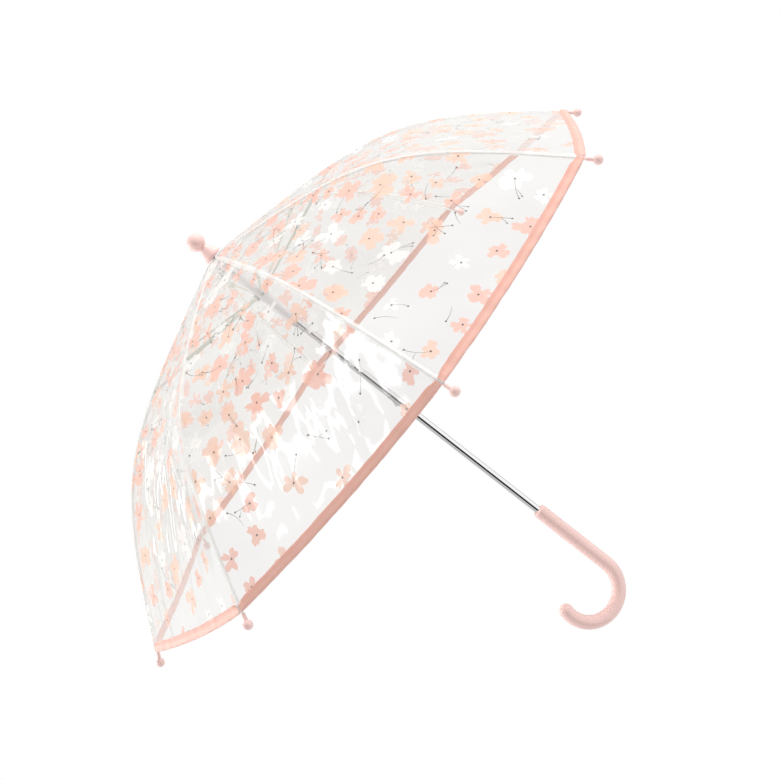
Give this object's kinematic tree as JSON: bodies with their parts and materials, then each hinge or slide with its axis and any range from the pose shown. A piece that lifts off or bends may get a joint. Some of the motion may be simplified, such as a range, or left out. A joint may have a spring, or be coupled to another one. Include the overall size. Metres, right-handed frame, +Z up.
{
  "type": "children's umbrella",
  "caption": "Child's see-through dome umbrella with a scattered blossom print, pastel J handle, ball finial and ball rib tips; ribs, stretchers and runner fold together.",
  "frame": {"origin": "centre of the straight hand grip, on the shaft's axis", "axes": "+Z up the shaft to the finial, +X towards the open side of the J hook, so the hook lies in the XZ plane"},
  "size_m": [0.7142, 0.7142, 0.5981],
  "materials": {
    "chrome_steel": "polished",
    "grey_plastic": "satin",
    "wire": "plain drawn wire",
    "pink_plastic": "glossy",
    "rib_fibreglass": "satin",
    "clear_film": "glossy clear film with a printed blossom pattern",
    "peach_binding": "satin woven tape"
  },
  "bodies": {
    "root": {"shaft": "chrome_steel", "crown": "grey_plastic", "crown_wire": "wire", "top_washer": "pink_plastic", "finial": "pink_plastic", "handle": "pink_plastic", "runner_stop": "wire"},
    "top_catch": {"top_catch": "wire"},
    "bottom_catch": {"bottom_catch": "wire"},
    "runner": {"runner": "grey_plastic", "runner_wire": "wire"},
    "rib_1": {"rib_1": "rib_fibreglass", "rib_tip_1": "pink_plastic", "rib_rivet_1": "wire"},
    "stretcher_1": {"stretcher_1": "rib_fibreglass"},
    "gore_1": {"gore_1": "clear_film", "hem_binding_1": "peach_binding"},
    "rib_2": {"rib_2": "rib_fibreglass", "rib_tip_2": "pink_plastic", "rib_rivet_2": "wire"},
    "stretcher_2": {"stretcher_2": "rib_fibreglass"},
    "gore_2": {"gore_2": "clear_film", "hem_binding_2": "peach_binding"},
    "rib_3": {"rib_3": "rib_fibreglass", "rib_tip_3": "pink_plastic", "rib_rivet_3": "wire"},
    "stretcher_3": {"stretcher_3": "rib_fibreglass"},
    "gore_3": {"gore_3": "clear_film", "hem_binding_3": "peach_binding"},
    "rib_4": {"rib_4": "rib_fibreglass", "rib_tip_4": "pink_plastic", "rib_rivet_4": "wire"},
    "stretcher_4": {"stretcher_4": "rib_fibreglass"},
    "gore_4": {"gore_4": "clear_film", "hem_binding_4": "peach_binding"},
    "rib_5": {"rib_5": "rib_fibreglass", "rib_tip_5": "pink_plastic", "rib_rivet_5": "wire"},
    "stretcher_5": {"stretcher_5": "rib_fibreglass"},
    "gore_5": {"gore_5": "clear_film", "hem_binding_5": "peach_binding"},
    "rib_6": {"rib_6": "rib_fibreglass", "rib_tip_6": "pink_plastic", "rib_rivet_6": "wire"},
    "stretcher_6": {"stretcher_6": "rib_fibreglass"},
    "gore_6": {"gore_6": "clear_film", "hem_binding_6": "peach_binding"},
    "rib_7": {"rib_7": "rib_fibreglass", "rib_tip_7": "pink_plastic", "rib_rivet_7": "wire"},
    "stretcher_7": {"stretcher_7": "rib_fibreglass"},
    "gore_7": {"gore_7": "clear_film", "hem_binding_7": "peach_binding"},
    "rib_8": {"rib_8": "rib_fibreglass", "rib_tip_8": "pink_plastic", "rib_rivet_8": "wire"},
    "stretcher_8": {"stretcher_8": "rib_fibreglass"},
    "gore_8": {"gore_8": "clear_film", "hem_binding_8": "peach_binding"}
  },
  "joints": [
    {"name": "rib_1_hinge", "type": "hinge", "parent": "root", "child": "rib_1", "pos_m": [0.00743, -0.00103, 0.4625], "axis": [0.1374, 0.9905, 0], "range_deg": [0, 60]},
    {"name": "stretcher_1_hinge", "type": "hinge", "parent": "rib_1", "child": "stretcher_1", "pos_m": [0.14164, -0.01965, 0.43969], "axis": [0.1374, 0.9905, 0], "range_deg": [-120, 0]},
    {"name": "rib_2_hinge", "type": "hinge", "parent": "root", "child": "rib_2", "pos_m": [0.00598, 0.00452, 0.4625], "axis": [-0.6032, 0.7976, 0], "range_deg": [0, 60]},
    {"name": "stretcher_2_hinge", "type": "hinge", "parent": "rib_2", "child": "stretcher_2", "pos_m": [0.11405, 0.08626, 0.43969], "axis": [-0.6032, 0.7976, 0], "range_deg": [-120, 0]},
    {"name": "rib_3_hinge", "type": "hinge", "parent": "root", "child": "rib_3", "pos_m": [0.00103, 0.00743, 0.4625], "axis": [-0.9905, 0.1374, 0], "range_deg": [0, 60]},
    {"name": "stretcher_3_hinge", "type": "hinge", "parent": "rib_3", "child": "stretcher_3", "pos_m": [0.01965, 0.14164, 0.43969], "axis": [-0.9905, 0.1374, 0], "range_deg": [-120, 0]},
    {"name": "rib_4_hinge", "type": "hinge", "parent": "root", "child": "rib_4", "pos_m": [-0.00452, 0.00598, 0.4625], "axis": [-0.7976, -0.6032, 0], "range_deg": [0, 60]},
    {"name": "stretcher_4_hinge", "type": "hinge", "parent": "rib_4", "child": "stretcher_4", "pos_m": [-0.08626, 0.11405, 0.43969], "axis": [-0.7976, -0.6032, 0], "range_deg": [-120, 0]},
    {"name": "rib_5_hinge", "type": "hinge", "parent": "root", "child": "rib_5", "pos_m": [-0.00743, 0.00103, 0.4625], "axis": [-0.1374, -0.9905, 0], "range_deg": [0, 60]},
    {"name": "stretcher_5_hinge", "type": "hinge", "parent": "rib_5", "child": "stretcher_5", "pos_m": [-0.14164, 0.01965, 0.43969], "axis": [-0.1374, -0.9905, 0], "range_deg": [-120, 0]},
    {"name": "rib_6_hinge", "type": "hinge", "parent": "root", "child": "rib_6", "pos_m": [-0.00598, -0.00452, 0.4625], "axis": [0.6032, -0.7976, 0], "range_deg": [0, 60]},
    {"name": "stretcher_6_hinge", "type": "hinge", "parent": "rib_6", "child": "stretcher_6", "pos_m": [-0.11405, -0.08626, 0.43969], "axis": [0.6032, -0.7976, 0], "range_deg": [-120, 0]},
    {"name": "rib_7_hinge", "type": "hinge", "parent": "root", "child": "rib_7", "pos_m": [-0.00103, -0.00743, 0.4625], "axis": [0.9905, -0.1374, 0], "range_deg": [0, 60]},
    {"name": "stretcher_7_hinge", "type": "hinge", "parent": "rib_7", "child": "stretcher_7", "pos_m": [-0.01965, -0.14164, 0.43969], "axis": [0.9905, -0.1374, 0], "range_deg": [-120, 0]},
    {"name": "rib_8_hinge", "type": "hinge", "parent": "root", "child": "rib_8", "pos_m": [0.00452, -0.00598, 0.4625], "axis": [0.7976, 0.6032, 0], "range_deg": [0, 60]},
    {"name": "stretcher_8_hinge", "type": "hinge", "parent": "rib_8", "child": "stretcher_8", "pos_m": [0.08626, -0.11405, 0.43969], "axis": [0.7976, 0.6032, 0], "range_deg": [-120, 0]},
    {"name": "runner_hinge", "type": "hinge", "parent": "stretcher_1", "child": "runner", "pos_m": [0.00743, -0.00103, 0.41687], "axis": [0.1374, 0.9905, 0], "range_deg": [0, 60]},
    {"name": "gore_1_fold", "type": "hinge", "parent": "rib_1", "child": "gore_1", "pos_m": [-0.18411, -0.04796, 0.35669], "axis": [-0.8538, -0.2224, -0.4706], "range_deg": [0, 44.13], "deforming": ["gore_1", "hem_binding_1"]},
    {"name": "gore_2_fold", "type": "hinge", "parent": "rib_2", "child": "gore_2", "pos_m": [-0.09628, -0.1641, 0.35669], "axis": [-0.4465, -0.761, -0.4706], "range_deg": [0, 44.13], "deforming": ["gore_2", "hem_binding_2"]},
    {"name": "gore_3_fold", "type": "hinge", "parent": "rib_3", "child": "gore_3", "pos_m": [0.04796, -0.18411, 0.35669], "axis": [0.2224, -0.8538, -0.4706], "range_deg": [0, 44.13], "deforming": ["gore_3", "hem_binding_3"]},
    {"name": "gore_4_fold", "type": "hinge", "parent": "rib_4", "child": "gore_4", "pos_m": [0.1641, -0.09628, 0.35669], "axis": [0.761, -0.4465, -0.4706], "range_deg": [0, 44.13], "deforming": ["gore_4", "hem_binding_4"]},
    {"name": "gore_5_fold", "type": "hinge", "parent": "rib_5", "child": "gore_5", "pos_m": [0.18411, 0.04796, 0.35669], "axis": [0.8538, 0.2224, -0.4706], "range_deg": [0, 44.13], "deforming": ["gore_5", "hem_binding_5"]},
    {"name": "gore_6_fold", "type": "hinge", "parent": "rib_6", "child": "gore_6", "pos_m": [0.09628, 0.1641, 0.35669], "axis": [0.4465, 0.761, -0.4706], "range_deg": [0, 44.13], "deforming": ["gore_6", "hem_binding_6"]},
    {"name": "gore_7_fold", "type": "hinge", "parent": "rib_7", "child": "gore_7", "pos_m": [-0.04796, 0.18411, 0.35669], "axis": [-0.2224, 0.8538, -0.4706], "range_deg": [0, 44.13], "deforming": ["gore_7", "hem_binding_7"]},
    {"name": "gore_8_fold", "type": "hinge", "parent": "rib_8", "child": "gore_8", "pos_m": [-0.1641, 0.09628, 0.35669], "axis": [-0.761, 0.4465, -0.4706], "range_deg": [0, 44.13], "deforming": ["gore_8", "hem_binding_8"]},
    {"name": "top_catch_press", "type": "slide", "parent": "root", "child": "top_catch", "axis": [-1, 0, 0], "range_m": [0, 0.0024], "stiffness_N_per_m": 400, "deforming": ["top_catch"]},
    {"name": "bottom_catch_press", "type": "slide", "parent": "root", "child": "bottom_catch", "axis": [-1, 0, 0], "range_m": [0, 0.0024], "stiffness_N_per_m": 400, "deforming": ["bottom_catch"]}
  ],
  "couplings": [
    {"joint": "stretcher_1_hinge", "follows": "rib_1_hinge", "ratio": -2},
    {"joint": "rib_2_hinge", "follows": "rib_1_hinge", "ratio": 1},
    {"joint": "stretcher_2_hinge", "follows": "rib_1_hinge", "ratio": -2},
    {"joint": "rib_3_hinge", "follows": "rib_1_hinge", "ratio": 1},
    {"joint": "stretcher_3_hinge", "follows": "rib_1_hinge", "ratio": -2},
    {"joint": "rib_4_hinge", "follows": "rib_1_hinge", "ratio": 1},
    {"joint": "stretcher_4_hinge", "follows": "rib_1_hinge", "ratio": -2},
    {"joint": "rib_5_hinge", "follows": "rib_1_hinge", "ratio": 1},
    {"joint": "stretcher_5_hinge", "follows": "rib_1_hinge", "ratio": -2},
    {"joint": "rib_6_hinge", "follows": "rib_1_hinge", "ratio": 1},
    {"joint": "stretcher_6_hinge", "follows": "rib_1_hinge", "ratio": -2},
    {"joint": "rib_7_hinge", "follows": "rib_1_hinge", "ratio": 1},
    {"joint": "stretcher_7_hinge", "follows": "rib_1_hinge", "ratio": -2},
    {"joint": "rib_8_hinge", "follows": "rib_1_hinge", "ratio": 1},
    {"joint": "stretcher_8_hinge", "follows": "rib_1_hinge", "ratio": -2},
    {"joint": "runner_hinge", "follows": "rib_1_hinge", "ratio": 1},
    {"joint": "gore_1_fold", "follows": "rib_1_hinge", "ratio": 0.73541},
    {"joint": "gore_2_fold", "follows": "rib_1_hinge", "ratio": 0.73541},
    {"joint": "gore_3_fold", "follows": "rib_1_hinge", "ratio": 0.73541},
    {"joint": "gore_4_fold", "follows": "rib_1_hinge", "ratio": 0.73541},
    {"joint": "gore_5_fold", "follows": "rib_1_hinge", "ratio": 0.73541},
    {"joint": "gore_6_fold", "follows": "rib_1_hinge", "ratio": 0.73541},
    {"joint": "gore_7_fold", "follows": "rib_1_hinge", "ratio": 0.73541},
    {"joint": "gore_8_fold", "follows": "rib_1_hinge", "ratio": 0.73541}
  ]
}
